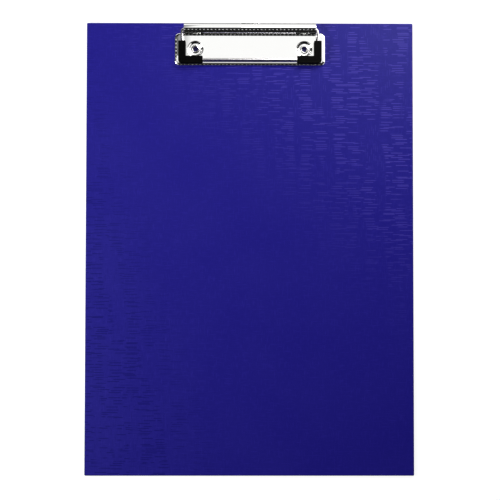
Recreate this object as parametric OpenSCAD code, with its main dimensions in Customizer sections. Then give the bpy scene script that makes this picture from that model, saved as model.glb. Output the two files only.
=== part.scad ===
// A4 clipboard: a greyboard panel wrapped in embossed film, with a chromed wire-bail clamp.
// Origin at the middle of the board's back face, +X across, +Y towards the clamp,
// +Z out of the front. Millimetres.

/* [Board] */
// Width of the finished board
board_w = 228; // [200:1:260]
// Length of the finished board
board_l = 315; // [280:1:360]
// Thickness of the greyboard core
core_t = 2; // [1.6:0.1:3]
// Thickness of the front film and of the back liner
film_t = 0.25; // [0.15:0.05:0.4]
// Width of the front film where it is turned in over the back
turn_in_w = 14; // [8:1:24]
// Distance of the back liner from the board's edges
liner_inset = 3; // [1:0.5:6]

/* [Barrel] */
// Outer diameter of the rolled barrel
barrel_d = 8; // [7.6:0.1:9.6]
// Length of the rolled barrel
barrel_l = 91.6; // [84:0.2:104]
// Thickness of the clamp's sheet steel
sheet_t = 0.8; // [0.6:0.05:0.9]
// Distance of the barrel's back from the board's top edge
barrel_setback = 0.9; // [0:0.1:4]
// Width of the hang slot in the barrel's back
slot_w = 13; // [8:0.5:20]
// Height of the hang slot
slot_h = 1.8; // [1.2:0.1:2.4]
// Height of the hang slot's middle over the barrel's axis
slot_rise = 1.8; // [1.6:0.1:2.2]

/* [Base plate] */
// Distance that the plate stands out past each end of the barrel
plate_side = 6.9; // [5.4:0.1:9]
// Distance from the barrel's axis to the plate's front edge
plate_reach = 25.5; // [25:0.1:32]
// Distance from the barrel's axis to the back edge of the plate's two wings
wing_setback = 2.4; // [1.6:0.1:4]
// Height of the hollow under the plate
plate_raise = 1.2; // [0.9:0.05:1.4]
// Corner radius of the plate in plan
plate_corner_r = 3.6; // [2.6:0.1:4.6]

/* [Rivets] */
// Distance of the rivets from the plate's side edges
rivet_inset = 14.7; // [12:0.1:22]
// Distance from the barrel's axis to the rivets
rivet_reach = 13.7; // [12.5:0.1:16]
// Diameter of a rivet's dimple at the plate's face
dimple_d = 11.4; // [10.4:0.1:12.4]
// Diameter of the dimple's flat floor
dimple_floor_d = 7.6; // [7:0.1:8.4]
// Bore of the eyelet
eyelet_bore_d = 3.6; // [3:0.1:4]
// Wall of the eyelet's tube
eyelet_wall = 0.45; // [0.35:0.05:0.5]
// Width of the eyelet's flange, measured out from its tube
flange_w = 0.75; // [0.5:0.05:0.9]
// Thickness of the eyelet's flange
flange_t = 0.6; // [0.4:0.05:0.8]
// Outer diameter of the washer at the back
washer_d = 8.4; // [7.4:0.1:9.4]
// Thickness of the washer
washer_t = 0.4; // [0.3:0.05:0.5]
// Thickness of the eyelet's clenched lip under the washer
clench_t = 0.4; // [0.3:0.05:0.5]

/* [Bail] */
// Diameter of the bail's wire
wire_d = 2.2; // [2:0.1:2.6]
// Gap between a barrel end and the bail's arm
arm_gap = 0.4; // [0.3:0.1:1]
// Bend radius of the wire's centreline where it leaves the barrel
shoulder_r = 2.6; // [2.2:0.1:3]
// Bend radius of the wire's centreline at the jaw's corners
jaw_corner_r = 3; // [2.6:0.1:3.6]
// Distance from the barrel's axis to the jaw bar
jaw_reach = 21.6; // [21:0.1:22.6]
// Length of the straight wire that lies inside each barrel end
journal_l = 22; // [19:0.5:26]

/* [Corner grips] */
// Width of the grip along the bail's arm
grip_arm_w = 5.2; // [4.8:0.1:5.6]
// Width of the grip along the jaw bar
grip_foot_w = 5.4; // [4.8:0.1:6.2]
// Length of the grip along the bail's arm
grip_arm_l = 16; // [14:0.1:17]
// Length of the grip along the jaw bar
grip_foot_l = 17; // [12:0.1:22]
// Wall of the grip on the outer side of the bail's arm, in plan
grip_side_wall = 1.5; // [1.2:0.1:1.6]
// Wall of the grip in front of the jaw bar, in plan
grip_front_wall = 1.8; // [1.4:0.1:2]
// Radius of the grip's outer corner
grip_corner_r = 2.8; // [2:0.1:4]
// Gap between the closed bail and the plate
seat_gap = 0.15; // [0.1:0.05:0.3]

/* [Springs and bushes] */
// Diameter of the spring's wire
spring_wire_d = 0.8; // [0.6:0.05:0.9]
// Number of coils
spring_turns = 10; // [7:1:11]
// Length of the spring's leg inside the bush
spring_leg_l = 3; // [2:0.1:4]
// Length of a bush
bush_l = 5; // [4.5:0.1:6]

/* [Fits] */
// Radial clearance of the wire in its bushes and in the grips
running_fit = 0.05; // [0.02:0.01:0.1]
// Clearance around pieces that are pressed or laid together
seat_fit = 0.02; // [0.01:0.01:0.05]
// Radial clearance of the eyelets in the board
hole_fit = 0.15; // [0.1:0.05:0.25]

/* [Hidden] */
$fn = 64;
LEFT = -1;
RIGHT = 1;
// Overlap that makes a cut run clear of the face it starts from
cut = 1;

board_t = core_t + 2 * film_t;

// The clamp's own frame lies on the board's front face, under the barrel's axis.
axis_y = board_l / 2 - barrel_setback - barrel_d / 2;
axis_h = barrel_d / 2;
bore_d = barrel_d - 2 * sheet_t;
plate_w = barrel_l + 2 * plate_side;
rivet_spacing = plate_w - 2 * rivet_inset;
plate_top = plate_raise + sheet_t;
border_r = plate_top;
border_lap = 0.2;
flat_front = plate_reach - border_r;
flat_back = wing_setback + border_r;

eyelet_d = eyelet_bore_d + 2 * eyelet_wall;
flange_d = eyelet_d + 2 * flange_w;
washer_recess_h = clench_t + washer_t + seat_fit;

arm_x = barrel_l / 2 + arm_gap + wire_d / 2;
journal_out = arm_x - shoulder_r;
journal_in = barrel_l / 2 - journal_l;
// The closed bail slopes down from the barrel's axis to where its jaw bar meets the plate.
bail_slope = asin((axis_h - plate_top - seat_gap - wire_d / 2) / jaw_reach);
// The slot in the wire's end that holds the spring's tang
tang_slot_w = spring_wire_d + 0.1;
tang_slot_l = spring_wire_d + 0.6;
bush_out = journal_out - 0.3;
bush_in = bush_out - bush_l;
bush_d = bore_d - 2 * seat_fit;

// The coils run midway between the wire and the bore, from the tang to just before the bush.
spring_r = (wire_d + bore_d) / 4;
spring_bend_r = spring_wire_d / 2;
tang_x = journal_in + tang_slot_l / 2;
coils_end = bush_in - 4 * spring_bend_r;
tang_a = 90;
coils_a = tang_a + 20;
leg_a = coils_a + 14;

grip_t = 2 * (axis_h - plate_top - seat_gap);
grip_x = arm_x + wire_d / 2 + grip_side_wall;
grip_y = jaw_reach + wire_d / 2 + grip_front_wall;
grip_edge_r = 0.6;

// Places its children in the clamp's frame.
module at_clamp() {
    translate([0, axis_y, board_t]) children();
}

// Mirrors its children, which are drawn for the right side, where side is LEFT.
module on_side(side) {
    mirror([side == LEFT ? 1 : 0, 0, 0]) children();
}

// Places its children at one rivet, in the clamp's frame.
module at_rivet(side) {
    translate([side * rivet_spacing / 2, -rivet_reach, 0]) children();
}

// A box centred on X and Y, from z = bottom up.
module slab(w, l, bottom, h) {
    translate([-w / 2, -l / 2, bottom]) cube([w, l, h]);
}

// A cylinder along X, from x0 to x1, around the clamp's axis.
module x_bar(d, x0, x1) {
    translate([x0, 0, axis_h]) rotate([0, 90, 0]) cylinder(d = d, h = x1 - x0);
}

// ---- Board ----

// The holes and washer recesses that the eyelets need in the core and its films.
module rivet_clearances() {
    recess_d = washer_d + 2 * hole_fit;
    for (side = [LEFT, RIGHT]) {
        translate([0, axis_y, 0]) at_rivet(side) {
            translate([0, 0, -cut]) cylinder(d = eyelet_d + 2 * hole_fit, h = board_t + 2 * cut);
            translate([0, 0, film_t - cut]) cylinder(d = recess_d, h = washer_recess_h + cut);
        }
    }
}

module board_core() {
    inner_w = board_w - 2 * film_t;
    inner_l = board_l - 2 * film_t;
    color("tan") difference() {
        union() {
            slab(inner_w, inner_l, 2 * film_t, core_t - film_t);
            slab(board_w - 2 * turn_in_w, board_l - 2 * turn_in_w, film_t, 2 * film_t);
        }
        rivet_clearances();
    }
}

module front_cover() {
    color("darkslateblue") difference() {
        slab(board_w, board_l, film_t, core_t + film_t);
        slab(board_w - 2 * film_t, board_l - 2 * film_t, 2 * film_t, core_t - film_t);
        slab(board_w - 2 * turn_in_w, board_l - 2 * turn_in_w, film_t - cut, cut + 2 * film_t);
        rivet_clearances();
    }
}

module back_cover() {
    color("midnightblue") slab(board_w - 2 * liner_inset, board_l - 2 * liner_inset, 0, film_t);
}

// ---- Base plate with its rolled barrel ----

// The quarter round that carries the plate's edge down to the board, with a lap into the flat.
module border_section() {
    intersection() {
        difference() {
            circle(r = border_r);
            circle(r = plate_raise);
        }
        square(border_r);
    }
    translate([-border_lap, plate_raise]) square([border_lap, sheet_t]);
}

// A straight stretch of border along X, centred, facing -Y.
module straight_border(length) {
    rotate([90, 0, -90]) linear_extrude(length, center = true) border_section();
}

// A rounded corner of the border, around the corner's own centre.
module corner_border() {
    rotate_extrude(angle = 90) translate([plate_corner_r - border_r, 0]) border_section();
}

// The flat of the plate, as an outline.
module plate_outline() {
    r = plate_corner_r - border_r;
    x = plate_w / 2 - plate_corner_r;
    y0 = -plate_reach + plate_corner_r;
    y1 = -wing_setback - plate_corner_r;
    for (sx = [-x, x], sy = [y0, y1]) translate([sx, sy]) circle(r = r);
    translate([-x - r, y0]) square([2 * (x + r), y1 - y0]);
    translate([-x, y0 - r]) square([2 * x, y1 - y0 + 2 * r]);
}

module plate_border() {
    x = plate_w / 2 - plate_corner_r;
    y0 = -plate_reach + plate_corner_r;
    y1 = -wing_setback - plate_corner_r;
    translate([0, -flat_front, 0]) straight_border(2 * x);
    for (side = [LEFT, RIGHT]) on_side(side) {
        translate([plate_w / 2 - border_r, (y0 + y1) / 2, 0]) rotate([0, 0, 90]) straight_border(y1 - y0);
        translate([(barrel_l / 2 + x) / 2, -flat_back, 0])
            rotate([0, 0, 180]) straight_border(x - barrel_l / 2);
        translate([x, y1, 0]) corner_border();
        translate([x, y0, 0]) rotate([0, 0, -90]) corner_border();
    }
}

// The sheet's upper face across the dimple's sloping wall, from its floor to its rim.
function dimple_wall(base_h) =
    let (r0 = dimple_floor_d / 2, run = (dimple_d - dimple_floor_d) / 2, steps = 10)
    [for (i = [0:steps]) [r0 + run * i / steps, base_h + plate_raise * (1 - cos(180 * i / steps)) / 2]];

// The sheet pressed down to the board around a rivet.
module dimple_cup() {
    lap = 0.3;
    hole_r = eyelet_d / 2 + seat_fit;
    lower = dimple_wall(0);
    upper = dimple_wall(sheet_t);
    rim = [[dimple_d / 2 + lap, plate_raise], [dimple_d / 2 + lap, plate_top]];
    rotate_extrude() polygon(concat(
        [[hole_r, 0]], lower, rim, [for (i = [len(upper) - 1:-1:0]) upper[i]], [[hole_r, sheet_t]]
    ));
}

module base_plate() {
    color("gainsboro") at_clamp() {
        difference() {
            union() {
                x_bar(barrel_d, -barrel_l / 2, barrel_l / 2);
                translate([0, 0, plate_raise]) linear_extrude(sheet_t) plate_outline();
                translate([-barrel_l / 2, -flat_back - cut, plate_raise])
                    cube([barrel_l, flat_back + cut, sheet_t]);
                plate_border();
            }
            x_bar(bore_d, -barrel_l / 2 - cut, barrel_l / 2 + cut);
            translate([-slot_w / 2, 0, axis_h + slot_rise - slot_h / 2]) cube([slot_w, barrel_d, slot_h]);
            for (side = [LEFT, RIGHT]) at_rivet(side)
                translate([0, 0, plate_raise - cut / 2]) cylinder(d = dimple_d, h = sheet_t + cut);
        }
        for (side = [LEFT, RIGHT]) at_rivet(side) dimple_cup();
    }
}

// ---- Rivets ----

module eyelet(side) {
    bore_r = eyelet_bore_d / 2;
    body_r = eyelet_d / 2;
    rim_r = flange_t / 2;
    flange_h = board_t + sheet_t;
    lip_h = film_t + seat_fit;
    color("silver") translate([0, axis_y, 0]) at_rivet(side) rotate_extrude() difference() {
        union() {
            translate([bore_r, lip_h]) square([eyelet_wall, flange_h - lip_h + flange_t]);
            translate([bore_r, flange_h]) square([flange_d / 2 - rim_r - bore_r, flange_t]);
            translate([flange_d / 2 - rim_r, flange_h + rim_r]) circle(r = rim_r);
            translate([bore_r, lip_h]) square([eyelet_wall + flange_w - clench_t / 2, clench_t]);
            translate([body_r + flange_w - clench_t / 2, lip_h + clench_t / 2]) circle(d = clench_t);
        }
        // The rounded mouth of the bore
        translate([bore_r, flange_h + flange_t - eyelet_wall]) difference() {
            translate([-cut, 0]) square([cut + eyelet_wall, eyelet_wall + cut]);
            translate([eyelet_wall, 0]) circle(r = eyelet_wall);
        }
    }
}

module eyelet_left() { eyelet(LEFT); }
module eyelet_right() { eyelet(RIGHT); }

module rivet_washer(side) {
    color("silver") translate([0, axis_y, film_t + seat_fit + clench_t]) at_rivet(side) difference() {
        cylinder(d = washer_d, h = washer_t);
        translate([0, 0, -cut]) cylinder(d = eyelet_d + 2 * seat_fit, h = washer_t + 2 * cut);
    }
}

module rivet_washer_left() { rivet_washer(LEFT); }
module rivet_washer_right() { rivet_washer(RIGHT); }

// ---- Bail ----

// Tilts its children, which are drawn flat around the barrel's axis, to the closed bail's slope.
module at_bail() {
    translate([0, 0, axis_h]) rotate([bail_slope, 0, 0]) children();
}

// Sweeps a section, its child, through a quarter bend in the XY plane, from +X to +Y.
module swept_bend(r) {
    rotate_extrude(angle = 90) translate([r, 0]) children();
}

// Sweeps a section, its child, along the bail's right arm and its corner at the jaw.
// arm_from is where the arm starts, below the barrel's axis.
module bail_arm(arm_from) {
    arm_to = jaw_reach - jaw_corner_r;
    translate([arm_x, -arm_from, 0]) rotate([90, 0, 0]) linear_extrude(arm_to - arm_from) children();
    translate([arm_x - jaw_corner_r, -arm_to, 0]) rotate([0, 0, -90]) swept_bend(jaw_corner_r) children();
}

// Sweeps a section, its child, along the jaw bar, from x0 to x1.
module jaw_bar(x0, x1) {
    translate([x0, -jaw_reach, 0]) rotate([90, 0, 90]) linear_extrude(x1 - x0) children();
}

module wire_section() {
    circle(d = wire_d);
}

// The section of a grip's channel, which is open downwards.
module channel_section() {
    channel_d = wire_d + 2 * running_fit;
    circle(d = channel_d);
    translate([-channel_d / 2, -grip_t]) square([channel_d, grip_t]);
}

module bail_wire() {
    jaw_x = arm_x - jaw_corner_r;
    color("lightgrey") at_clamp() {
        at_bail() jaw_bar(-jaw_x, jaw_x) wire_section();
        for (side = [LEFT, RIGHT]) on_side(side) {
            at_bail() {
                bail_arm(shoulder_r) wire_section();
                translate([journal_out, -shoulder_r, 0]) swept_bend(shoulder_r) wire_section();
            }
            difference() {
                x_bar(wire_d, journal_in, journal_out);
                translate([journal_in - cut, -tang_slot_w / 2, axis_h - wire_d / 2 - cut])
                    cube([tang_slot_l + cut, tang_slot_w, wire_d + 2 * cut]);
            }
        }
    }
}

// A corner grip's outline in plan, its outer corner at the origin, its arms towards -X and +Y.
module grip_outline() {
    module rounded(w, l) {
        r = grip_edge_r;
        for (x = [r - w, -r], y = [r, l - r]) translate([x, y]) circle(r = r);
        translate([-w, r]) square([w, l - 2 * r]);
        translate([r - w, 0]) square([w - 2 * r, l]);
    }
    difference() {
        union() {
            rounded(grip_arm_w, grip_arm_l);
            rounded(grip_foot_l, grip_foot_w);
        }
        translate([-grip_corner_r, 0]) difference() {
            translate([0, -cut]) square([grip_corner_r + cut, grip_corner_r + cut]);
            translate([0, grip_corner_r]) circle(r = grip_corner_r);
        }
    }
}

module corner_grip(side) {
    color("black") at_clamp() on_side(side) difference() {
        translate([grip_x, -grip_y, axis_h - grip_t / 2]) linear_extrude(grip_t) grip_outline();
        at_bail() {
            bail_arm(grip_y - grip_arm_l - cut) channel_section();
            jaw_bar(grip_x - grip_foot_l - cut, arm_x - jaw_corner_r) channel_section();
        }
    }
}

module corner_grip_left() { corner_grip(LEFT); }
module corner_grip_right() { corner_grip(RIGHT); }

// ---- Springs and bushes inside the barrel ----

function unit(v) = v / norm(v);

// The direction of a path at each of its points.
function directions(path) =
    let (last = len(path) - 1)
    [for (i = [0:last]) unit(path[min(i + 1, last)] - path[max(i - 1, 0)])];

// A normal carried along the path, so that the swept tube doesn't twist.
function carried(dirs, normal, i = 0) =
    i == len(dirs) ? []
    : let (n = unit(normal - (normal * dirs[i]) * dirs[i])) concat([n], carried(dirs, n, i + 1));

// A tube of diameter d with flat ends along a path.
module swept_tube(path, d, first_normal, sides = 6) {
    dirs = directions(path);
    normals = carried(dirs, first_normal);
    points = [for (i = [0:len(path) - 1], k = [0:sides - 1])
        path[i] + d / 2 * (cos(360 * k / sides) * normals[i] + sin(360 * k / sides) * cross(dirs[i], normals[i]))];
    last = (len(path) - 1) * sides;
    walls = [for (i = [0:len(path) - 2], k = [0:sides - 1])
        let (a = i * sides + k, b = i * sides + (k + 1) % sides)
        each [[a, a + sides, b + sides], [a, b + sides, b]]];
    ends = [[for (k = [0:sides - 1]) k], [for (k = [sides - 1:-1:0]) last + k]];
    polyhedron(points, concat(walls, ends));
}

// A point at angle a around the barrel's axis, at radius r and distance x along it.
function around_axis(x, r, a) = [x, r * cos(a), axis_h + r * sin(a)];

// The spring's centreline: its tang across the wire's slot, its coils, and its leg in the bush.
function spring_path() =
    let (
        steps = 12,
        count = spring_turns * steps,
        coils = [for (i = [0:count])
            around_axis(tang_x + (coils_end - tang_x) * i / count, spring_r, coils_a + 360 * i / steps)]
    )
    concat(
        [
            around_axis(tang_x, 0.3 - wire_d / 2, tang_a),
            around_axis(tang_x, spring_r - spring_bend_r, tang_a),
            around_axis(tang_x, spring_r - spring_bend_r / 4, (2 * tang_a + coils_a) / 3)
        ],
        coils,
        [
            around_axis(coils_end + spring_bend_r / 2, spring_r, (coils_a + 2 * leg_a) / 3),
            around_axis(coils_end + 2 * spring_bend_r, spring_r, leg_a),
            around_axis(bush_in + spring_leg_l, spring_r, leg_a)
        ]
    );

module torsion_spring(side) {
    color("dimgrey") at_clamp() on_side(side) swept_tube(spring_path(), spring_wire_d, [1, 0, 0]);
}

module torsion_spring_left() { torsion_spring(LEFT); }
module torsion_spring_right() { torsion_spring(RIGHT); }

module barrel_bush(side) {
    color("ivory") at_clamp() on_side(side) difference() {
        x_bar(bush_d, bush_in, bush_out);
        x_bar(wire_d + 2 * running_fit, bush_in - cut, bush_out + cut);
        translate([0, spring_r * cos(leg_a), spring_r * sin(leg_a)])
            x_bar(spring_wire_d + 2 * running_fit, bush_in - cut, bush_in + spring_leg_l + seat_gap);
    }
}

module barrel_bush_left() { barrel_bush(LEFT); }
module barrel_bush_right() { barrel_bush(RIGHT); }

board_core();
front_cover();
back_cover();
base_plate();
bail_wire();
corner_grip_left();
corner_grip_right();
torsion_spring_left();
torsion_spring_right();
barrel_bush_left();
barrel_bush_right();
eyelet_left();
eyelet_right();
rivet_washer_left();
rivet_washer_right();
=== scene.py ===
"""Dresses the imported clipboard: finished pieces, node materials, studio and camera."""

import math

import bpy
from mathutils import Matrix, Vector, geometry


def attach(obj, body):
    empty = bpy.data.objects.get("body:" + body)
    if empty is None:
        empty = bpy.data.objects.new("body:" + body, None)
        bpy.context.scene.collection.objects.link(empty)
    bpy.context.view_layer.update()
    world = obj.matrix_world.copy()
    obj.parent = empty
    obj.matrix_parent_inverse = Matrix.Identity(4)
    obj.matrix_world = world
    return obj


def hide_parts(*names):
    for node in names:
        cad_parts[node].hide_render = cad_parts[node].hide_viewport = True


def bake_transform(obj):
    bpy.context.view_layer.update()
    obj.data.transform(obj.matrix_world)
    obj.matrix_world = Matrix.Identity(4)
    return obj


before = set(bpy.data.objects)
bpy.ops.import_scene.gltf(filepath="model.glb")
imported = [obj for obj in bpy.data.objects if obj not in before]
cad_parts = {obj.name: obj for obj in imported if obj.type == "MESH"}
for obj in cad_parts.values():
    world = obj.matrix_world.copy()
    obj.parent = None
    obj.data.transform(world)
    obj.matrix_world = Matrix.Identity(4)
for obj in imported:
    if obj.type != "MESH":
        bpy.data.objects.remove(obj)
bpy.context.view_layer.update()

# ---- Sizes in millimetres, the same as in the CAD model ----

MM = 0.001
LEFT, RIGHT = -1, 1
SHARP = math.radians(38)  # edges that turn by more than this stay sharp

BOARD_W, BOARD_L, BOARD_T = 228, 315, 2.5
FILM_T = 0.25
TURN_IN_W = 14
LINER_INSET = 3

AXIS_Y = 152.6
AXIS_H = 4
BARREL_R, BORE_R, BARREL_HALF = 4, 3.2, 45.8
SHEET_T = 0.8
SLOT_W, SLOT_LOW, SLOT_HIGH = 13, 13, 42.5

PLATE_HALF, PLATE_FRONT, WING_BACK = 52.7, -25.5, -2.4
PLATE_CORNER_R = 3.6
PLATE_TOP = 2
RIVET_X, RIVET_Y = 38, -13.7
DIMPLE_R, DIMPLE_FLOOR_R, DIMPLE_DEPTH = 5.7, 3.8, 1.2
RIVET_HOLE_R = 2.27

WIRE_R = 1.1
ARM_X, JAW_REACH = 47.3, 21.6
SHOULDER_R, JAW_CORNER_R = 2.6, 3
SEAT_GAP = 0.15
JOURNAL_END = 23.8
TANG_SLOT_W, TANG_SLOT_L = 0.9, 1.4

GRIP_X, GRIP_Y = 49.9, -24.5
GRIP_ARM_W, GRIP_ARM_L = 5.2, 16
GRIP_FOOT_W, GRIP_FOOT_L = 5.4, 17
GRIP_CORNER_R, GRIP_EDGE_R = 2.8, 0.6
GRIP_LOW, GRIP_HIGH = 2.15, 5.85


def clamp_point(x, y, z):
    """A point of the clamp's frame, which lies on the board's face under the barrel's axis."""
    return Vector((x, AXIS_Y + y, BOARD_T + z))


def bail_point(x, y):
    """A point of the closed bail, which slopes down from the barrel's axis to the plate."""
    slope = math.asin((AXIS_H - PLATE_TOP - SEAT_GAP - WIRE_R) / JAW_REACH)
    return clamp_point(x, y * math.cos(slope), AXIS_H + y * math.sin(slope))


def on_circle(centre, radius, degrees):
    """A point in a plane, on a circle."""
    angle = math.radians(degrees)
    return Vector((centre[0] + radius * math.cos(angle), centre[1] + radius * math.sin(angle)))


def steps(start, end, count):
    """Evenly spaced numbers from start to end."""
    return [start + (end - start) * i / count for i in range(count + 1)]


def circle(centre, radius, segments=48):
    """A closed loop of points round a circle."""
    return [on_circle(centre, radius, degrees) for degrees in steps(0, 360, segments)[:-1]]


# ---- Mesh building ----


def contour(corners, inset=0.0, parts=8):
    """A closed outline of rounded corners (x, y, radius), moved inwards, as points and normals."""
    found = []
    for i, (x, y, radius) in enumerate(corners):
        here = Vector((x, y))
        came = (here - Vector(corners[i - 1][:2])).normalized()
        goes = (Vector(corners[(i + 1) % len(corners)][:2]) - here).normalized()
        first = Vector((came.y, -came.x))
        last = Vector((goes.y, -goes.x))
        turn = math.atan2(first.x * last.y - first.y * last.x, first.dot(last))
        hand = 1 if turn > 0 else -1
        bend = max(radius - hand * inset, 0.0)
        reach = (first + last) / (1 + first.dot(last))
        centre = here - reach * (inset + hand * bend)
        for share in steps(0, 1, parts):
            normal = Matrix.Rotation(share * turn, 2) @ first
            found.append((centre + normal * hand * bend, normal))
    return found


def rectangle(half_w, half_l, radius, middle=(0, 0)):
    """The corners of a rectangle, counter-clockwise from its back left corner."""
    x, y = middle
    return [
        (x - half_w, y + half_l, radius),
        (x - half_w, y - half_l, radius),
        (x + half_w, y - half_l, radius),
        (x + half_w, y + half_l, radius),
    ]


def split(loop, longest):
    """A closed loop of points with its long sides split."""
    found = []
    for here, after in zip(loop, loop[1:] + loop[:1]):
        count = max(1, math.ceil((after - here).length / longest))
        found += [here.lerp(after, i / count) for i in range(count)]
    return found


def inside(loops, point):
    """Whether a point lies inside an odd number of closed loops."""
    odd = False
    for loop in loops:
        for a, b in zip(loop, loop[1:] + loop[:1]):
            if (a.y > point.y) != (b.y > point.y):
                if point.x < a.x + (point.y - a.y) / (b.y - a.y) * (b.x - a.x):
                    odd = not odd
    return odd


class Surface:
    """Faces between shared points, each point with the true normal of the surface there."""

    def __init__(self):
        self.numbers = {}
        self.points = []
        self.normals = []
        self.faces = []

    def point(self, place, normal):
        """The number of the point at a place, which is made if there is none yet."""
        key = tuple(round(c * 2000) for c in place)
        if key not in self.numbers:
            self.numbers[key] = len(self.points)
            self.points.append(Vector(place))
            self.normals.append(Vector(normal).normalized())
        return self.numbers[key]

    def face(self, numbers):
        """A face with its front on the side of its points' normals."""
        corners = list(dict.fromkeys(numbers))
        if len(corners) < 3:
            return
        front = sum((self.normals[i] for i in corners), Vector())
        if geometry.normal([self.points[i] for i in corners]).dot(front) < 0:
            corners.reverse()
        self.faces.append(corners)

    def rows(self, rows, closed=False):
        """Four-sided faces between rows of points."""
        for low, high in zip(rows, rows[1:]):
            ends = list(zip(low, high))
            if closed:
                ends.append(ends[0])
            for (a, d), (b, c) in zip(ends, ends[1:]):
                self.face([a, b, c, d])

    def fill(self, loops, place, extra=()):
        """Triangles inside closed loops in a plane, which place() carries to the surface."""
        flat = [p for loop in loops for p in loop] + list(extra)
        edges = []
        for loop in loops:
            start = flat.index(loop[0])
            edges += [(start + i, start + (i + 1) % len(loop)) for i in range(len(loop))]
        _, _, faces, sources, _, _ = geometry.delaunay_2d_cdt(flat, edges, [], 0, 1e-6)
        for face in faces:
            corners = [flat[sources[i][0]] for i in face]
            if inside(loops, sum(corners, Vector((0, 0))) / 3):
                self.face([self.point(*place(p)) for p in corners])

    def corner_normals(self):
        """The normals at every corner of every face, in the order of the faces."""
        return [self.normals[i] for face in self.faces for i in face]

    def closed(self, backs, bulge, parts=4):
        """The closed solid between this surface and the points behind it, with a rounded rim."""
        solid = Surface()
        count = len(self.points)
        solid.points = self.points + backs
        solid.normals = self.normals + [-n for n in self.normals]
        solid.faces = self.faces + [[count + i for i in reversed(f)] for f in self.faces]
        sides = {(a, b) for f in self.faces for a, b in zip(f, f[1:] + f[:1])}
        rim = sorted((a, b) for a, b in sides if (b, a) not in sides)
        outward = {}
        for a, b in rim:
            along = (self.points[b] - self.points[a]).normalized()
            for i in (a, b):
                outward[i] = outward.get(i, Vector()) + along.cross(self.normals[i])
        chains = {}
        for i, way in outward.items():
            way = way.normalized()
            half = (self.points[i] - backs[i]) / 2
            chains[i] = [i]
            for degrees in steps(0, 180, parts)[1:-1]:
                up, out = math.cos(math.radians(degrees)), math.sin(math.radians(degrees))
                chains[i].append(len(solid.points))
                solid.points.append(backs[i] + half * (1 + up) + way * bulge * out)
                normal = half.normalized() * bulge * up + way * half.length * out
                solid.normals.append(normal.normalized())
            chains[i].append(count + i)
        for a, b in rim:
            for p, q, r, s in zip(chains[a], chains[a][1:], chains[b][1:], chains[b]):
                solid.faces.append([s, p, q, r])
        return solid


def mesh_object(name, points, faces):
    """A mesh in the scene, from points in metres."""
    mesh = bpy.data.meshes.new(name)
    mesh.from_pydata(points, [], faces)
    mesh.update()
    made = bpy.data.objects.new(name, mesh)
    bpy.context.scene.collection.objects.link(made)
    return made


def piece(name, points, faces, body, node, look, normals=None):
    """A piece from points in millimetres, which stands for a CAD node.

    It rides on its body, or on none if that is None.
    """
    made = mesh_object(name, [Vector(p) * MM for p in points], faces)
    mesh = made.data
    mesh.shade_smooth()
    if normals is None:
        mesh.set_sharp_from_angle(angle=SHARP)
    else:
        mesh.normals_split_custom_set(normals)
    mesh.materials.append(look)
    if body:
        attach(made, body)
    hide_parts(node)
    return made


def surface_piece(name, solid, body, node, look):
    """A piece made from a closed surface, with the surface's own normals."""
    normals = solid.corner_normals()
    return piece(name, solid.points, solid.faces, body, node, look, normals)


def swept(path, section, first_normal):
    """The points and faces of a section of (up, aside), with flat ends, swept along a path."""
    points, faces = [], []
    normal = Vector(first_normal)
    last = len(path) - 1
    sides = len(section)
    for i, here in enumerate(path):
        along = (path[min(i + 1, last)] - path[max(i - 1, 0)]).normalized()
        normal = (normal - along * normal.dot(along)).normalized()
        side = along.cross(normal)
        points += [here + normal * up + side * aside for up, aside in section]
    for i in range(last):
        for k in range(sides):
            a, b = i * sides + k, i * sides + (k + 1) % sides
            faces.append([a, b, b + sides, a + sides])
    faces.append(list(range(sides))[::-1])
    faces.append([last * sides + k for k in range(sides)])
    return points, faces


def tube(path, radius, sides, first_normal):
    """The points and faces of a round rod along a path."""
    return swept(path, circle((0, 0), radius, sides), first_normal)


def lathe(profile, centre, segments=48):
    """The points and faces of a ring turned from a closed profile of (radius, height)."""
    points = []
    for degrees in steps(0, 360, segments)[:-1]:
        for radius, height in profile:
            spot = on_circle(centre, radius, degrees)
            points.append(Vector((spot.x, spot.y, height)))
    count = len(profile)
    faces = []
    for i in range(segments):
        for k in range(count):
            a, b = i * count + k, i * count + (k + 1) % count
            c, d = ((i + 1) % segments) * count + (k + 1) % count, ((i + 1) % segments) * count + k
            faces.append([a, d, c, b])
    return points, faces


def carve(made, points, faces):
    """Cuts a closed shape out of a piece."""
    cutter = mesh_object("cutter", [Vector(p) * MM for p in points], faces)
    cut = made.modifiers.new("cut", "BOOLEAN")
    cut.operation = "DIFFERENCE"
    cut.solver = "EXACT"
    cut.object = cutter
    bpy.context.view_layer.update()
    whole = made.evaluated_get(bpy.context.evaluated_depsgraph_get())
    carved = bpy.data.meshes.new_from_object(whole)
    made.modifiers.clear()
    made.data = carved
    carved.set_sharp_from_angle(angle=SHARP)
    bpy.data.objects.remove(cutter)


# ---- Materials ----


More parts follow.
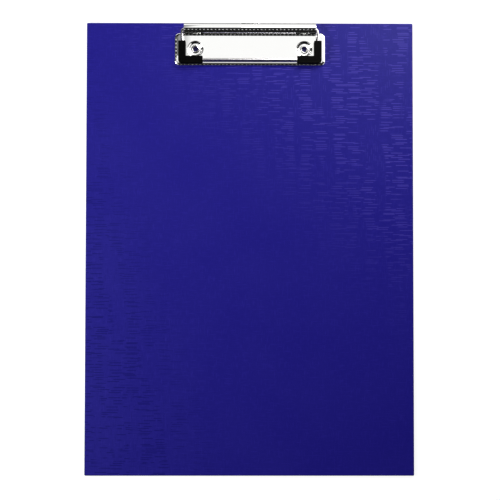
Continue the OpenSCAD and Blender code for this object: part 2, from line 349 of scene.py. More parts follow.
class Look:
    """A node material in the making. Its lengths are millimetres on the piece.

    Settings are named after the shader's sockets, such as specular_ior_level.
    """

    def __init__(self, name, **settings):
        self.material = bpy.data.materials.new(name)
        self.material.use_nodes = True
        self.tree = self.material.node_tree
        self.shader = self.tree.nodes["Principled BSDF"]
        self.place = self.tree.nodes.new("ShaderNodeTexCoord").outputs["Object"]
        for socket, value in settings.items():
            self.feed(socket.replace("_", " ").title().replace("Ior", "IOR"), value)

    def feed(self, socket, value):
        """Sets a socket of the shader, or links it."""
        self.connect(self.shader.inputs[socket], value)

    def connect(self, socket, value):
        """Sets a node's input to a value, or links it to another node's output."""
        if isinstance(value, bpy.types.NodeSocket):
            self.tree.links.new(value, socket)
        else:
            socket.default_value = value

    def node(self, kind, inputs, **settings):
        """A new node with its settings and its inputs, by name or number."""
        made = self.tree.nodes.new("ShaderNode" + kind)
        for name, value in settings.items():
            setattr(made, name, value)
        for name, value in inputs.items():
            self.connect(made.inputs[name], value)
        return made

    def scaled(self, *lengths):
        """The place on the piece, in units of the given lengths along X, Y and Z."""
        scale = [1 / (length * MM) for length in lengths]
        return self.node("Mapping", {"Vector": self.place, "Scale": scale}).outputs[0]

    def along(self, x, y):
        """How far the place is from the middle in a direction, in millimetres."""
        inputs = {0: self.place, 1: (x / MM, y / MM, 0)}
        return self.node("VectorMath", inputs, operation="DOT_PRODUCT").outputs["Value"]

    def noise(self, *lengths, detail=2.0):
        """Cloudy noise from 0 to 1 with blotches of the given lengths."""
        inputs = {"Vector": self.scaled(*lengths), "Scale": 1.0, "Detail": detail}
        return self.node("TexNoise", inputs).outputs["Fac"]

    def remap(self, value, low, high, new_low=0.0, new_high=1.0):
        """Carries the range low to high to a new range, with soft ends."""
        inputs = {
            "Value": value,
            "From Min": low,
            "From Max": high,
            "To Min": new_low,
            "To Max": new_high,
        }
        return self.node("MapRange", inputs, interpolation_type="SMOOTHSTEP").outputs[0]

    def calc(self, operation, first, second):
        """One arithmetic step between two values."""
        return self.node("Math", {0: first, 1: second}, operation=operation).outputs[0]

    def mixed(self, share, first, second):
        """A colour between two colours."""
        return self.node("Mix", {0: share, 6: first, 7: second}, data_type="RGBA").outputs[2]

    def relief(self, height, depth):
        """Bumps of the given depth."""
        bump = self.node("Bump", {"Height": height, "Distance": depth * MM})
        self.feed("Normal", bump.outputs["Normal"])

    def edge_wear(self, radius):
        """1 along sharp outer edges, fading out over the given radius."""
        bevel = self.node("Bevel", {"Radius": radius * MM}, samples=6)
        surface = self.node("NewGeometry", {})
        facing = self.node(
            "VectorMath",
            {0: bevel.outputs[0], 1: surface.outputs["Normal"]},
            operation="DOT_PRODUCT",
        )
        return self.remap(facing.outputs["Value"], 0.97, 0.80)


def grey(level):
    """A neutral colour."""
    return (level, level, level, 1)


def plating(name, bright, dull, clear, hazy):
    """Plated metal between two colours and between two roughnesses.

    It has faint waves, clouded patches, and hair scratches in the haze.
    """
    scratch_haze = 0.01
    look = Look(name, metallic=1.0)
    cloud = look.noise(9, 9, 9, detail=3)
    look.feed("Base Color", look.mixed(cloud, bright, dull))
    scratches = look.remap(look.noise(14, 0.12, 4, detail=3), 0.62, 0.75, 0.0, scratch_haze)
    haze = look.remap(look.noise(4, 4, 4, detail=4), 0.35, 0.75, clear, hazy)
    look.feed("Roughness", look.calc("ADD", haze, scratches))
    look.relief(look.noise(5, 5, 5, detail=1), 0.001)
    return look.material


THROUGH = 40  # a length along Z that shows no change within the thin film


def strokes(look, length, gap, thickness, upright, share):
    """Short straight embossed strokes: 1 on them and 0 between.

    Each lies in a cell of length by gap and is three quarters as long as the cell. The given
    share of the cells has one.
    """
    cell_size = (gap, length, THROUGH) if upright else (length, gap, THROUGH)
    place = look.scaled(*cell_size)
    cell = look.node(
        "TexVoronoi",
        {"Vector": place, "Scale": 1.0, "Randomness": 0.9},
        voronoi_dimensions="2D",
        distance="CHEBYCHEV",
    )
    away = look.node("VectorMath", {0: place, 1: cell.outputs["Position"]}, operation="SUBTRACT")
    offset = look.node("VectorMath", {0: away.outputs[0]}, operation="ABSOLUTE")
    parts = look.node("SeparateXYZ", {0: offset.outputs[0]}).outputs
    along, across = (parts[1], parts[0]) if upright else (parts[0], parts[1])
    half = thickness / gap / 2
    bar = look.calc(
        "MULTIPLY", look.remap(along, 0.40, 0.34), look.remap(across, half * 1.35, half * 0.65)
    )
    chance = look.node("SeparateColor", {"Color": cell.outputs["Color"]}).outputs["Red"]
    return look.calc("MULTIPLY", bar, look.remap(chance, 1 - share, 1.04 - share))


def embossed_film():
    """Blue film with a linen emboss: columns of flat strokes, upright ones between, and a weave.

    The strokes are painted paler towards the back right corner as a painted highlight, and darker
    along the left edge as painted shade.
    """
    look = Look("embossed_blue_film", IOR=1.5, specular_ior_level=0.14)
    column = look.remap(look.noise(12, 45, THROUGH, detail=1), 0.38, 0.48)
    between = look.calc("SUBTRACT", 1.0, column)
    flat = look.calc("MULTIPLY", strokes(look, 11, 1.5, 0.5, False, 0.7), column)
    upright = look.calc("MULTIPLY", strokes(look, 6, 1.4, 0.45, True, 0.35), between)
    marks = look.calc("MAXIMUM", flat, look.calc("MULTIPLY", upright, 0.35))
    # Painted highlight on the strokes towards the back right corner, and painted shade on them
    # along the left edge.
    painted_glint = look.calc("MULTIPLY", marks, look.remap(look.along(1, 1), 20, 185))
    dark = look.calc("MULTIPLY", marks, look.remap(look.along(-1, -0.3), 45, 120))
    cloud = look.noise(40, 40, THROUGH, detail=2)
    weave = look.calc("MAXIMUM", look.noise(6, 0.9, THROUGH), look.noise(0.9, 6, THROUGH))
    deep_blue, blue = (0.0092, 0.0063, 0.200, 1), (0.0105, 0.0072, 0.212, 1)
    weave_blue = (0.016, 0.011, 0.245, 1)
    glint_blue, shade_blue = (0.048, 0.035, 0.325, 1), (0.001, 0.0006, 0.125, 1)
    base = look.mixed(cloud, deep_blue, blue)
    base = look.mixed(look.remap(weave, 0.5, 0.8), base, weave_blue)
    # The strokes take the painted highlight colour at the back right and the painted shade colour
    # at the left.
    base = look.mixed(painted_glint, base, glint_blue)
    look.feed("Base Color", look.mixed(dark, base, shade_blue))
    look.feed("Roughness", look.remap(cloud, 0.3, 0.7, 0.42, 0.47))
    grain = look.calc("MULTIPLY", look.noise(0.35, 0.35, 0.35, detail=2), 0.05)
    look.relief(look.calc("ADD", marks, grain), 0.012)
    return look.material


def liner_film():
    """Plain dark blue film with a fine matt grain and faint rub marks."""
    look = Look("matt_liner_film", IOR=1.5)
    cloud = look.noise(30, 30, 30, detail=3)
    deep_blue, blue = (0.017, 0.014, 0.125, 1), (0.022, 0.018, 0.150, 1)
    look.feed("Base Color", look.mixed(cloud, deep_blue, blue))
    rub = look.remap(look.noise(60, 1.5, 10, detail=3), 0.60, 0.80, 0.0, 0.12)
    grain = look.noise(0.3, 0.3, 0.3, detail=2)
    look.feed("Roughness", look.calc("SUBTRACT", look.remap(grain, 0.3, 0.7, 0.50, 0.60), rub))
    look.relief(grain, 0.02)
    return look.material


def grip_plastic():
    """Moulded black plastic with a fine spark grain and edges rubbed paler and glossier."""
    look = Look("moulded_black_plastic", IOR=1.48, specular_ior_level=0.035)
    grain = look.noise(0.22, 0.22, 0.22, detail=2)
    patches = look.remap(look.noise(2.5, 2.5, 2.5), 0.4, 0.65)
    wear = look.calc("MULTIPLY", look.edge_wear(0.35), patches)
    black, rubbed = (0.0012, 0.0012, 0.0013, 1), (0.008, 0.008, 0.0085, 1)
    look.feed("Base Color", look.mixed(wear, black, rubbed))
    cloud = look.remap(look.noise(3, 3, 3, detail=3), 0.3, 0.7, 0.30, 0.44)
    look.feed("Roughness", look.calc("SUBTRACT", cloud, look.calc("MULTIPLY", wear, 0.1)))
    look.relief(grain, 0.008)
    return look.material


def greyboard():
    """Pressed recycled board: brown-grey fibres with light and dark flecks."""
    look = Look("pressed_greyboard", IOR=1.4)
    fibre = look.noise(1.8, 0.25, 0.3, detail=4)
    fleck = look.remap(look.noise(0.8, 0.6, 0.5, detail=1), 0.68, 0.76)
    brown, pale_grey = (0.40, 0.34, 0.27, 1), (0.60, 0.53, 0.43, 1)
    dark_fleck = (0.20, 0.17, 0.14, 1)
    base = look.mixed(fibre, brown, pale_grey)
    look.feed("Base Color", look.mixed(fleck, base, dark_fleck))
    look.feed("Roughness", look.remap(fibre, 0.3, 0.7, 0.80, 0.95))
    look.relief(fibre, 0.06)
    return look.material


def nylon():
    """Natural nylon: off-white, faintly mottled."""
    look = Look("natural_nylon", IOR=1.53)
    cloud = look.noise(1.5, 1.5, 1.5, detail=3)
    cream, off_white = (0.78, 0.75, 0.66, 1), (0.86, 0.84, 0.77, 1)
    look.feed("Base Color", look.mixed(cloud, cream, off_white))
    look.feed("Roughness", look.remap(cloud, 0.3, 0.7, 0.36, 0.50))
    look.relief(look.noise(0.3, 0.3, 0.3), 0.01)
    return look.material


def spring_steel():
    """Drawn, oiled spring wire: grey with darker oil stains and draw marks."""
    look = Look("oiled_spring_steel", metallic=1.0)
    oil = look.remap(look.noise(1.4, 1.4, 1.4, detail=3), 0.4, 0.65)
    bare_steel, oiled_steel = (0.42, 0.42, 0.43, 1), (0.24, 0.23, 0.22, 1)
    look.feed("Base Color", look.mixed(oil, bare_steel, oiled_steel))
    look.feed("Roughness", look.remap(oil, 0.0, 1.0, 0.38, 0.22))
    look.relief(look.noise(0.5, 0.06, 0.06), 0.01)
    return look.material


CHROMED_SHEET = plating(
    "chromed_sheet_steel", (0.985, 0.985, 0.97, 1), (0.965, 0.965, 0.95, 1), 0.01, 0.022
)
CHROMED_WIRE = plating(
    "plated_wire_steel", (0.70, 0.68, 0.70, 1), (0.62, 0.60, 0.62, 1), 0.15, 0.19
)
NICKEL = plating("bright_nickel", (0.82, 0.81, 0.80, 1), (0.74, 0.73, 0.72, 1), 0.16, 0.24)
FILM = embossed_film()
LINER = liner_film()
BLACK_PLASTIC = grip_plastic()
SPRING_STEEL = spring_steel()


# ---- Board ----


def rounded_edge(radius, start, end, parts=5):
    """A quarter of an edge's rounding, as (distance in, height, normal out, normal up)."""
    rows = []
    for degrees in steps(start, end, parts):
        out, up = math.cos(math.radians(degrees)), math.sin(math.radians(degrees))
        rows.append((radius * (1 - out), radius * up, out, up))
    return rows


def lifted(rows, height):
    """The same rows at another height."""
    return [(inset, z + height, out, up) for inset, z, out, up in rows]


def ring_rows(surface, outline, profile):
    """Rows of points round an outline, one for each row of a profile."""
    rows = []
    for inset, height, out, up in profile:
        rows.append([
            surface.point((p.x, p.y, height), (n.x * out, n.y * out, up))
            for p, n in contour(outline, inset)
        ])
    return rows


RIVET_PLACES = {side: (side * RIVET_X, AXIS_Y + RIVET_Y) for side in (LEFT, RIGHT)}


def front_film():
    """The film over the front, wrapped round the edges, turned in at the back and pierced."""
    edge_r, corner_r = 0.42, 0.9
    rivet_gap, rim_bulge = 0.13, 0.05
    skin = Surface()
    outline = rectangle(BOARD_W / 2, BOARD_L / 2, corner_r)
    profile = [(TURN_IN_W, FILM_T, 0, -1)]
    profile += lifted(rounded_edge(edge_r, -90, 0), FILM_T + edge_r)
    profile += lifted(rounded_edge(edge_r, 0, 90), BOARD_T - edge_r)
    skin.rows(ring_rows(skin, outline, profile), closed=True)
    loops = [[p for p, _ in contour(outline, edge_r)]]
    loops += [circle(place, RIVET_HOLE_R + rivet_gap) for place in RIVET_PLACES.values()]
    skin.fill(loops, lambda p: ((p.x, p.y, BOARD_T), (0, 0, 1)))
    backs = [p - n * FILM_T for p, n in zip(skin.points, skin.normals)]
    solid = skin.closed(backs, rim_bulge)
    surface_piece("embossed_front_film", solid, "board", "front_cover", FILM)


def back_liner():
    """The liner on the back. It sinks slightly inside the turned-in film and round the rivets."""
    sink, film_ramp, rivet_ramp = 0.05, 0.7, 0.5
    corner_r, rivet_r, rim_bulge = 0.6, 3.6, 0.06
    skin = Surface()
    outline = rectangle(BOARD_W / 2 - LINER_INSET, BOARD_L / 2 - LINER_INSET, corner_r)
    step_at = TURN_IN_W - LINER_INSET

    def dip(share):
        """How far a ramp has sunk at a share of its way."""
        return sink * (1 - math.cos(math.pi * share)) / 2

    def slope(share, run):
        """How steep a ramp of a given run is at a share of its way."""
        return sink * math.pi / 2 / run * math.sin(math.pi * share)

    profile = [(0, 0, 0, -1)]
    for share in steps(0, 1, 4):
        lean = slope(share, film_ramp)
        profile.append((step_at + film_ramp * share, dip(share), -lean, -1))
    skin.rows(ring_rows(skin, outline, profile), closed=True)
    holes = []
    for place in RIVET_PLACES.values():
        rows = []
        for share in steps(0, 1, 4):
            height = sink - dip(share)
            ring = []
            for spot in circle(place, rivet_r - rivet_ramp * share):
                away = (spot - Vector(place)).normalized() * slope(share, rivet_ramp)
                ring.append(skin.point((spot.x, spot.y, height), (-away.x, -away.y, -1)))
            rows.append(ring)
        skin.rows(rows, closed=True)
        skin.face(rows[-1])
        holes.append(circle(place, rivet_r))
    loops = [[p for p, _ in contour(outline, step_at + film_ramp)]] + holes
    skin.fill(loops, lambda p: ((p.x, p.y, sink), (0, 0, -1)))
    backs = [Vector((p.x, p.y, FILM_T)) for p in skin.points]
    solid = skin.closed(backs, rim_bulge)
    surface_piece("back_liner_film", solid, "board", "back_cover", LINER)


front_film()
back_liner()


# ---- Base plate with its rolled barrel ----

# The border turns down in two arcs, a wide one from the flat and a tight one to the side.
WIDE_R, WIDE_TURN, TIGHT_R = 4.41, 13.5, 1.176
RIM_BULGE = 0.05
NOTCH_X, NOTCH_BOTTOM = 46.15, -4.9
BEND_R, BEND_Y, BEND_TURN = 1.2, -3.02, 43.3
SEAM_ANGLE = 209.2
# The part of the barrel that is meshed round the slot: along X, and in degrees round the barrel.
WINDOW_HALF, WINDOW_LOW, WINDOW_HIGH = 9, 0, 55
# Where the mesh of the bend and the barrel is split along X.
COLUMNS = [-BARREL_HALF, -27, -WINDOW_HALF, WINDOW_HALF, 27, BARREL_HALF]


def border_profile():
    """The border's section from the flat outwards, as (distance out, height, normal out, up)."""
    rows = []
    for turn in steps(0, WIDE_TURN, 3):
        out, up = math.sin(math.radians(turn)), math.cos(math.radians(turn))
        rows.append((WIDE_R * out, PLATE_TOP - WIDE_R * (1 - up), out, up))
    run, height, out, up = rows[-1]
    centre = (run - TIGHT_R * out, height - TIGHT_R * up)
    for turn in steps(WIDE_TURN, 90, 8)[1:]:
        out, up = math.sin(math.radians(turn)), math.cos(math.radians(turn))
        rows.append((centre[0] + TIGHT_R * out, centre[1] + TIGHT_R * up, out, up))
    rows.append((rows[-1][0], RIM_BULGE, 1, 0))
    return rows


def bore_point(x, degrees):
    """A point of the barrel's inner face and its normal."""
    spot = on_circle((0, AXIS_H), BORE_R, degrees)
    away = on_circle((0, 0), 1, degrees)
    return clamp_point(x, spot.x, spot.y), (0, -away.x, -away.y)


def add_border(sheet):
    """The turned-down border round the plate and its wings, from notch to notch.

    Returns the line where it leaves the flat of the plate.
    """
    middle = (WING_BACK + PLATE_FRONT) / 2
    outline = rectangle(PLATE_HALF, (WING_BACK - PLATE_FRONT) / 2, PLATE_CORNER_R, (0, middle))
    profile = border_profile()
    whole = profile[-1][0]
    rows = []
    for run, height, out, up in profile:
        inset = whole - run
        back = Vector((0, 1))
        path = [(Vector((-NOTCH_X, WING_BACK - inset)), back)]
        path += contour(outline, inset)
        path.append((Vector((NOTCH_X, WING_BACK - inset)), back))
        rows.append([
            sheet.point(clamp_point(p.x, p.y, height), (n.x * out, n.y * out, up)) for p, n in path
        ])
        if run == 0:
            flat_line = [p for p, _ in path]
    sheet.rows(rows)
    return flat_line


def add_barrel(sheet):
    """The sheet's bend down to the board and round the barrel, with the hang slot."""
    slot_corner_r, slot_spacing, slot_margin = 0.9, 0.4, 0.3
    rows = []
    for degrees in steps(90, 90 - BEND_TURN, 6)[:-1]:
        spot = on_circle((BEND_Y, PLATE_TOP - BEND_R), BEND_R, degrees)
        away = on_circle((0, 0), 1, degrees)
        rows.append([
            sheet.point(clamp_point(x, spot.x, spot.y), (0, away.x, away.y)) for x in COLUMNS
        ])
    start = -90 - BEND_TURN
    angles = steps(start, WINDOW_LOW, 20) + steps(WINDOW_LOW, WINDOW_HIGH, 11)[1:]
    angles += steps(WINDOW_HIGH, SEAM_ANGLE, 34)[1:]
    angles = [round(a, 4) for a in angles]
    ring = {a: [sheet.point(*bore_point(x, a)) for x in COLUMNS] for a in angles}
    window = [a for a in angles if WINDOW_LOW <= a <= WINDOW_HIGH]
    rows += [ring[a] for a in angles if a <= WINDOW_LOW]
    sheet.rows(rows)
    sheet.rows([ring[a] for a in angles if a >= WINDOW_HIGH])
    half = len(COLUMNS) // 2
    sheet.rows([ring[a][:half] for a in window])
    sheet.rows([ring[a][half:] for a in window])

    def rolled_out(x, degrees):
        """A point of the barrel with its sheet rolled out flat."""
        return Vector((x, BARREL_R * math.radians(degrees)))

    frame_loop = [rolled_out(WINDOW_HALF, a) for a in window]
    frame_loop += [rolled_out(-WINDOW_HALF, a) for a in reversed(window)]
    low, high = rolled_out(0, SLOT_LOW).y, rolled_out(0, SLOT_HIGH).y
    slot = rectangle(SLOT_W / 2, (high - low) / 2, slot_corner_r, (0, (high + low) / 2))
    slot_loop = split([p for p, _ in contour(slot)], slot_spacing)
    margin = [p for p, _ in contour(slot, -slot_margin)]
    places_x = steps(1 - WINDOW_HALF, WINDOW_HALF - 1, 8)
    grid = [rolled_out(x, a) for x in places_x for a in window[1:-1]]
    sheet.fill(
        [frame_loop, slot_loop],
        lambda p: bore_point(p.x, round(math.degrees(p.y / BARREL_R), 4)),
        [p for p in grid if not inside([margin], p)],
    )


def add_dimple(sheet, centre):
    """The round dimple that carries the sheet down to the board at a rivet."""
    run = DIMPLE_R - DIMPLE_FLOOR_R
    floor = PLATE_TOP - DIMPLE_DEPTH
    profile = [(RIVET_HOLE_R, floor, 0)]
    for share in steps(0, 1, 10):
        height = floor + DIMPLE_DEPTH * (1 - math.cos(math.pi * share)) / 2
        slope = DIMPLE_DEPTH * math.pi / 2 / run * math.sin(math.pi * share)
        profile.append((DIMPLE_FLOOR_R + run * share, height, slope))
    rows = []
    for radius, height, slope in profile:
        ring = []
        for spot in circle(centre, radius):
            away = (spot - Vector(centre)) / radius * slope
            ring.append(sheet.point(clamp_point(spot.x, spot.y, height), (-away.x, -away.y, 1)))
        rows.append(ring)
    sheet.rows(rows, closed=True)


def base_plate():
    """The clamp's plate and barrel, pressed and rolled from one sheet."""
    sheet = Surface()
    outer = add_border(sheet)
    add_barrel(sheet)
    notch = [Vector((NOTCH_X, NOTCH_BOTTOM)), Vector((BARREL_HALF, NOTCH_BOTTOM))]
    outer += notch
    outer += [Vector((x, BEND_Y)) for x in reversed(COLUMNS)]
    outer += [Vector((-p.x, p.y)) for p in reversed(notch)]
    centres = [(side * RIVET_X, RIVET_Y) for side in (LEFT, RIGHT)]
    loops = [outer] + [circle(centre, DIMPLE_R) for centre in centres]
    sheet.fill(loops, lambda p: (clamp_point(p.x, p.y, PLATE_TOP), (0, 0, 1)))
    for centre in centres:
        add_dimple(sheet, centre)
    backs = []
    for p, n in zip(sheet.points, sheet.normals):
        pressed = any((p.xy - Vector(spot)).length < DIMPLE_R for spot in RIVET_PLACES.values())
        backs.append(p - (Vector((0, 0, 1)) if pressed else n) * SHEET_T)
    solid = sheet.closed(backs, RIM_BULGE)
    surface_piece("pressed_base_plate", solid, "board", "base_plate", CHROMED_SHEET)


base_plate()


# ---- Rivets ----


def arc(centre, radius, start, end, parts):
    """Points on an arc, as (radius, height)."""
    return [tuple(on_circle(centre, radius, degrees)) for degrees in steps(start, end, parts)]


def eyelet(side, name, node):
    """A hollow rivet with a domed, rolled flange and a clenched lip at the back."""
    bore_r, body_r, flange_r = 1.8, 2.25, 3.0
    dome_r, rim_r, lip_r = 0.45, 0.27, 0.2
    seat = BOARD_T + SHEET_T
    top = seat + 0.6
    lip = 0.27
    profile = [(bore_r, lip + lip_r)]
    profile += arc((body_r, top - dome_r), dome_r, 180, 90, 6)
    profile += arc((flange_r - rim_r, seat + rim_r), rim_r, 80, -90, 9)
    profile += [(body_r, seat), (body_r, lip + 2 * lip_r)]
    profile += arc((flange_r - lip_r, lip + lip_r), lip_r, 90, -90, 6)
    profile += [(bore_r + lip_r, lip)]
    points, faces = lathe(profile[::-1], RIVET_PLACES[side])
    piece(name, points, faces, "board", node, NICKEL)


eyelet(LEFT, "rolled_eyelet_left", "eyelet_left")
eyelet(RIGHT, "rolled_eyelet_right", "eyelet_right")


# ---- Bail ----


def bend(centre, radius, start, end, parts=10):
    """Points of a bend in the bail's plane."""
    return [bail_point(p[0], p[1]) for p in arc(centre, radius, start, end, parts)]


def bail_side(y_from, x_to):
    """The right arm, the jaw's corner and the jaw bar, from y_from to x_to."""
    corner = (ARM_X - JAW_CORNER_R, JAW_CORNER_R - JAW_REACH)
    path = [bail_point(ARM_X, y) for y in steps(y_from, corner[1], 6)[:-1]]
    path += bend(corner, JAW_CORNER_R, 0, -90)
    path += [bail_point(x, -JAW_REACH) for x in steps(corner[0], x_to, 24)[1:]]
    return path


def mirrored(path):
    """The same points on the left."""
    return [Vector((-p.x, p.y, p.z)) for p in path]


def bail_wire():
    """The wire, slotted at both ends for the springs' tangs."""
    first_step, past_end, past_side = 0.5, 0.5, 2
    shoulder = (ARM_X - SHOULDER_R, -SHOULDER_R)
    half = [clamp_point(x, 0, AXIS_H) for x in steps(JOURNAL_END, shoulder[0], 4)[:-1]]
    half += bend(shoulder, SHOULDER_R, 90, 0)
    half += bail_side(-SHOULDER_R - first_step, 0)
    path = half + mirrored(reversed(half[:-1]))
    points, faces = tube(path, WIRE_R, 28, (0, 0, 1))
    made = piece("bail_wire_bent", points, faces, "bail", "bail_wire", CHROMED_WIRE)
    for side in (LEFT, RIGHT):
        x = side * (JOURNAL_END + TANG_SLOT_L / 2 - past_end)
        slot_box = rectangle(TANG_SLOT_L / 2 + past_end, TANG_SLOT_W / 2, 0, (x, AXIS_Y))
        low, high = BOARD_T + AXIS_H - past_side, BOARD_T + AXIS_H + past_side
        corners = [Vector((cx, cy, z)) for z in (low, high) for cx, cy, _ in slot_box]
        walls = [[i, (i + 1) % 4, (i + 1) % 4 + 4, i + 4] for i in range(4)]
        carve(made, corners, walls + [[3, 2, 1, 0], [4, 5, 6, 7]])


def grip_outline():
    """The right grip in plan, counter-clockwise."""
    inner_r = 0.4
    back = GRIP_Y + GRIP_ARM_L
    foot = GRIP_Y + GRIP_FOOT_W
    left = GRIP_X - GRIP_FOOT_L
    inner = GRIP_X - GRIP_ARM_W
    return [
        (GRIP_X, back, GRIP_EDGE_R),
        (inner, back, GRIP_EDGE_R),
        (inner, foot, inner_r),
        (left, foot, GRIP_EDGE_R),
        (left, GRIP_Y, GRIP_EDGE_R),
        (GRIP_X, GRIP_Y, GRIP_CORNER_R),
    ]


def corner_grip(side, name, node):
    """A moulded grip with rounded edges, a parting line and a channel for the wire, open below."""
    edge_r, line_half, line_out = 0.5, 0.1, 0.05
    channel_r, past_end = WIRE_R + 0.05, 1
    block = Surface()
    outline = [(x, y + AXIS_Y, r) for x, y, r in grip_outline()]
    low, high = BOARD_T + GRIP_LOW, BOARD_T + GRIP_HIGH
    middle = (low + high) / 2
    profile = lifted(rounded_edge(edge_r, -90, 0), low + edge_r)
    for inset, height in ((0.0, -line_half), (-line_out, 0.0), (0.0, line_half)):
        profile.append((inset, middle + height, 1, 0))
    profile += lifted(rounded_edge(edge_r, 0, 90), high - edge_r)
    rows = ring_rows(block, outline, profile)
    block.rows(rows, closed=True)
    block.face(rows[0])
    block.face(rows[-1])
    channel = bail_side(GRIP_Y + GRIP_ARM_L + past_end, GRIP_X - GRIP_FOOT_L - past_end)
    if side == LEFT:
        block.points = mirrored(block.points)
        block.faces = [f[::-1] for f in block.faces]
        channel = mirrored(channel)
    made = piece(name, block.points, block.faces, "bail", node, BLACK_PLASTIC)
    section = [on_circle((0, 0), channel_r, degrees) for degrees in steps(-90, 90, 16)]
    section += [(-GRIP_HIGH, channel_r), (-GRIP_HIGH, -channel_r)]
    carve(made, *swept(channel, section, (0, 0, 1)))
    made.modifiers.new("even_normals", "WEIGHTED_NORMAL").keep_sharp = True


bail_wire()
corner_grip(LEFT, "moulded_grip_left", "corner_grip_left")
corner_grip(RIGHT, "moulded_grip_right", "corner_grip_right")


# ---- Springs ----

SPRING_WIRE_R = 0.4
# Places along X, from the clamp's middle.
SPRING_TANG_X, SPRING_TANG_END = 24.5, 25.3
SPRING_COILS_END, SPRING_LEG_END = 37.8, 42.4


def rounded_path(path, passes=2):
    """A path with its corners cut."""
    for _ in range(passes):
        cut = [path[0]]
        for a, b in zip(path, path[1:]):
            cut += [a.lerp(b, 0.25), a.lerp(b, 0.75)]
        path = cut + [path[-1]]
    return path


def spring_path():
    """The right spring's centreline: its tang in the wire's slot, its coils and its leg."""
    coil_r, coil_start, leg_angle = 2.15, 110, 124
    turns, per_turn = 10, 16

    def around(x, radius, degrees):
        """A point round the barrel's axis."""
        spot = on_circle((0, AXIS_H), radius, degrees)
        return clamp_point(x, spot.x, spot.y)

    tang = ((-0.8, 90), (1.75, 90), (2.05, 96.7))
    path = [around(SPRING_TANG_X, radius, degrees) for radius, degrees in tang]
    count = turns * per_turn
    for i, x in enumerate(steps(SPRING_TANG_X, SPRING_COILS_END, count)):
        path.append(around(x, coil_r, coil_start + 360 * i / per_turn))
    leg = ((38.0, 119.3), (38.6, leg_angle), (SPRING_LEG_END, leg_angle))
    path += [around(x, coil_r, degrees) for x, degrees in leg]
    return rounded_path(path)


def torsion_spring(side, name, node):
    """A spring whose tang turns with the wire, while its leg stays in the barrel."""
    path = spring_path()
    if side == LEFT:
        path = mirrored(path)
    points, faces = tube(path, SPRING_WIRE_R, 10, (1, 0, 0))
    made = piece(name, points, faces, None, node, SPRING_STEEL)
    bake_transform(made)


torsion_spring(LEFT, "wound_spring_left", "torsion_spring_left")
torsion_spring(RIGHT, "wound_spring_right", "torsion_spring_right")


# ---- CAD pieces that keep their shape ----

KEPT_LOOKS = {
    "board_core": greyboard(),
    "barrel_bush_left": nylon(),
    "barrel_bush_right": nylon(),
    "rivet_washer_left": NICKEL,
    "rivet_washer_right": NICKEL,
}
for kept_node, kept_look in KEPT_LOOKS.items():
    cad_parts[kept_node].data.materials[0] = kept_look


# ---- Studio ----

EYE = (-5.5, -29.1, 800)  # the camera's place
CLAMP_LEFT, CLAMP_BACK = -50, 150  # the parts of the clamp that show the rows of lamps
LAMP_HEIGHT = 795
WHITE_RAYS = ("Is Camera Ray", "Is Glossy Ray", "Is Transmission Ray")


def white_ray_share(tree):
    """1 for the rays that see the plain white surroundings, 0 for the rays that light."""
    path = tree.nodes.new("ShaderNodeLightPath")
    share = path.outputs[WHITE_RAYS[0]]
    for ray in WHITE_RAYS[1:]:
        either = tree.nodes.new("ShaderNodeMath")
        either.operation = "MAXIMUM"
        tree.links.new(share, either.inputs[0])
        tree.links.new(path.outputs[ray], either.inputs[1])
        share = either.outputs[0]
    return share


def mix_numbers(tree, share, low, high):
    """A number between two numbers."""
    made = tree.nodes.new("ShaderNodeMapRange")
    tree.links.new(share, made.inputs["Value"])
    made.inputs["To Min"].default_value = low
    made.inputs["To Max"].default_value = high
    return made.outputs[0]


def studio_sheet(name, points, faces, look, height=0.0):
    """A sheet of the studio, lifted to a height, which isn't part of the object."""
    made = mesh_object(name, points, faces)
    made.data.materials.append(look)
    made.location = (0, 0, height)
    return made


def white_floor():
    """A pale floor that shows as white and still takes the object's shadow."""
    half, height = 3, -0.00005
    shown_glow, shown_paint, lit_paint = 0.86, 0.32, 0.75
    look = bpy.data.materials.new("white_floor")
    look.use_nodes = True
    tree = look.node_tree
    tree.nodes.remove(tree.nodes["Principled BSDF"])
    share = white_ray_share(tree)
    glow = tree.nodes.new("ShaderNodeEmission")
    tree.links.new(mix_numbers(tree, share, 0.0, shown_glow), glow.inputs["Strength"])
    paint = tree.nodes.new("ShaderNodeBsdfDiffuse")
    colour = tree.nodes.new("ShaderNodeCombineColor")
    for channel in ("Red", "Green", "Blue"):
        paint_level = mix_numbers(tree, share, lit_paint, shown_paint)
        tree.links.new(paint_level, colour.inputs[channel])
    tree.links.new(colour.outputs[0], paint.inputs["Color"])
    both = tree.nodes.new("ShaderNodeAddShader")
    tree.links.new(glow.outputs[0], both.inputs[0])
    tree.links.new(paint.outputs[0], both.inputs[1])
    tree.links.new(both.outputs[0], tree.nodes["Material Output"].inputs["Surface"])
    corners = [(-half, -half, 0), (half, -half, 0), (half, half, 0), (-half, half, 0)]
    studio_sheet("floor", corners, [(0, 1, 2, 3)], look, height)


def only_in_reflections(made):
    """Hides a thing from all rays but those off glossy surfaces."""
    for kind in ("camera", "diffuse", "transmission", "volume_scatter", "shadow"):
        setattr(made, "visible_" + kind, False)


def glowing(name, strength):
    """A material that only glows, with its node tree and its glow."""
    look = bpy.data.materials.new(name)
    look.use_nodes = True
    tree = look.node_tree
    tree.nodes.remove(tree.nodes["Principled BSDF"])
    glow = tree.nodes.new("ShaderNodeEmission")
    tree.links.new(glow.outputs[0], tree.nodes["Material Output"].inputs["Surface"])
    glow.inputs["Strength"].default_value = strength
    return look, tree, glow


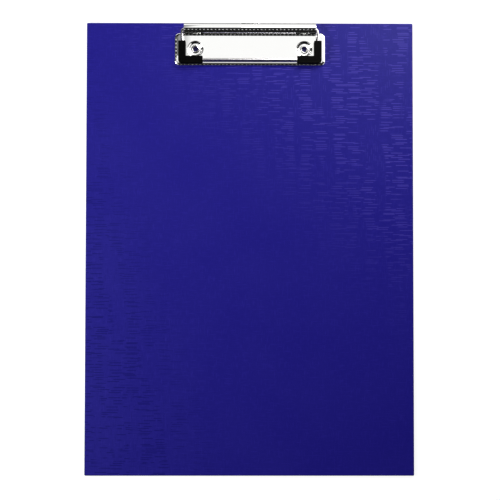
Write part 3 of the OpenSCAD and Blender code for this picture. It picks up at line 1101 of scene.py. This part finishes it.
def card(name, corners, strength, edge=None):
    """A sheet that only reflections show. At an edge (axis, start, end) it fades to white."""
    look, tree, glow = glowing(name, strength)
    if edge:
        axis, start, end = edge
        place = tree.nodes.new("ShaderNodeTexCoord")
        parts = tree.nodes.new("ShaderNodeSeparateXYZ")
        ramp = tree.nodes.new("ShaderNodeMapRange")
        tree.links.new(place.outputs["Object"], parts.inputs[0])
        tree.links.new(parts.outputs[axis], ramp.inputs["Value"])
        ramp.inputs["From Min"].default_value = start
        ramp.inputs["From Max"].default_value = end
        ramp.inputs["To Min"].default_value = strength
        ramp.inputs["To Max"].default_value = 1.0
        tree.links.new(ramp.outputs[0], glow.inputs["Strength"])
    only_in_reflections(studio_sheet(name, corners, [(0, 1, 2, 3)], look))


def level_card(name, x, y, z, strength, edge=None):
    """A level card between two values of X and of Y, in metres."""
    corners = [(x[0], y[0], z), (x[1], y[0], z), (x[1], y[1], z), (x[0], y[1], z)]
    card(name, corners, strength, edge)


def cards():
    """What the chrome shows besides the white room. Its places are in metres.

    The ceiling is dark over the camera and to the left, with a white patch at the near left. The
    walls in front and to the left are dark, and the table behind the clamp is grey.
    """
    dark, far, top = 0.013, 1.3, 0.8
    back_edge, left_edge = ("Y", 0.265, 0.295), ("X", -0.100, -0.076)
    level_card("ceiling", (-far, far), (-far, 0.30), top, dark, back_edge)
    level_card("left_ceiling", (-far, -0.076), (0.297, far), top - 0.001, dark, left_edge)
    level_card("white_patch", (-0.90, -0.30), (-0.75, -0.05), top - 0.01, 1.0)
    level_card("grey_table", (-far, far), (0.165, far), 0.0005, 0.30)
    for name, x, y in (("front_wall", far, -far), ("left_wall", -far, far)):
        card(name, [(-far, -far, 0), (x, y, 0), (x, y, top), (-far, -far, top)], dark)


def lamp_row(name, count, pitch, width, nearest, farthest, strength, turned=False):
    """Narrow lamps side by side that only reflections show, spread so that none looks slanted.

    They run away from the camera between two distances from the clamp, along Y, or if turned
    along X. All lengths are millimetres. The pitch and width are those that the clamp shows.
    """
    eye, clamp = (EYE[1], CLAMP_LEFT) if turned else (EYE[0], CLAMP_BACK)
    points, faces = [], []
    for i in range(-count, count + 1):
        faces.append([len(points) + k for k in range(4)])
        for away, side in ((nearest, -1), (nearest, 1), (farthest, 1), (farthest, -1)):
            spread = 1 + math.hypot(LAMP_HEIGHT, away) / LAMP_HEIGHT
            across = eye + (pitch * i + side * width / 2 - eye) * spread
            spot = (clamp - away, across) if turned else (across, clamp - away)
            points.append((spot[0] * MM, spot[1] * MM, 0))
    look, _, _ = glowing(name, strength)
    only_in_reflections(studio_sheet(name, points, faces, look, LAMP_HEIGHT * MM))


def lamp(name, place, size, level):
    """A soft lamp aimed at the board's middle, where a level of 1 shows colours as written.

    Its place and size are in metres.
    """
    light = bpy.data.lights.new(name, "AREA")
    light.shape = "RECTANGLE"
    light.size, light.size_y = size
    place = Vector(place)
    light.energy = level * math.pi**2 * place.length**3 / place.z
    made = bpy.data.objects.new(name, light)
    made.location = place
    made.rotation_euler = (-place).to_track_quat("-Z", "Y").to_euler()
    made.visible_camera = False
    bpy.context.scene.collection.objects.link(made)


def surroundings(fill):
    """A white world for the rays that show it, and a weak even fill for the rays that light."""
    world = bpy.data.worlds.new("studio")
    bpy.context.scene.world = world
    world.use_nodes = True
    tree = world.node_tree
    back = tree.nodes["Background"]
    back.inputs["Color"].default_value = grey(1)
    tree.links.new(mix_numbers(tree, white_ray_share(tree), fill, 1.0), back.inputs["Strength"])


def camera():
    """The camera, above the board and slightly in front of its middle."""
    tilt = (1.987, -0.415, 0.067)  # degrees about X, Y and Z
    data = bpy.data.cameras.new("photo_view")
    data.lens, data.sensor_width = 82.63, 36
    data.clip_start, data.clip_end = 0.05, 20
    made = bpy.data.objects.new("photo_view", data)
    made.location = Vector(EYE) * MM
    made.rotation_euler = [math.radians(degrees) for degrees in tilt]
    bpy.context.scene.collection.objects.link(made)
    bpy.context.scene.camera = made


white_floor()
cards()
lamp_row("front_lamps", 25, 2.62, 0.70, 260, 510, 0.70)
lamp_row("left_lamps", 65, 2.62, 0.90, 220, 460, 1.20, turned=True)
lamp("key", (-0.50, 0.0, 0.40), (0.28, 0.28), 0.50)
lamp("back", (0.16, 0.31, 0.32), (0.32, 0.18), 0.42)
surroundings(0.10)
camera()

bpy.context.scene.view_settings.view_transform = "Standard"
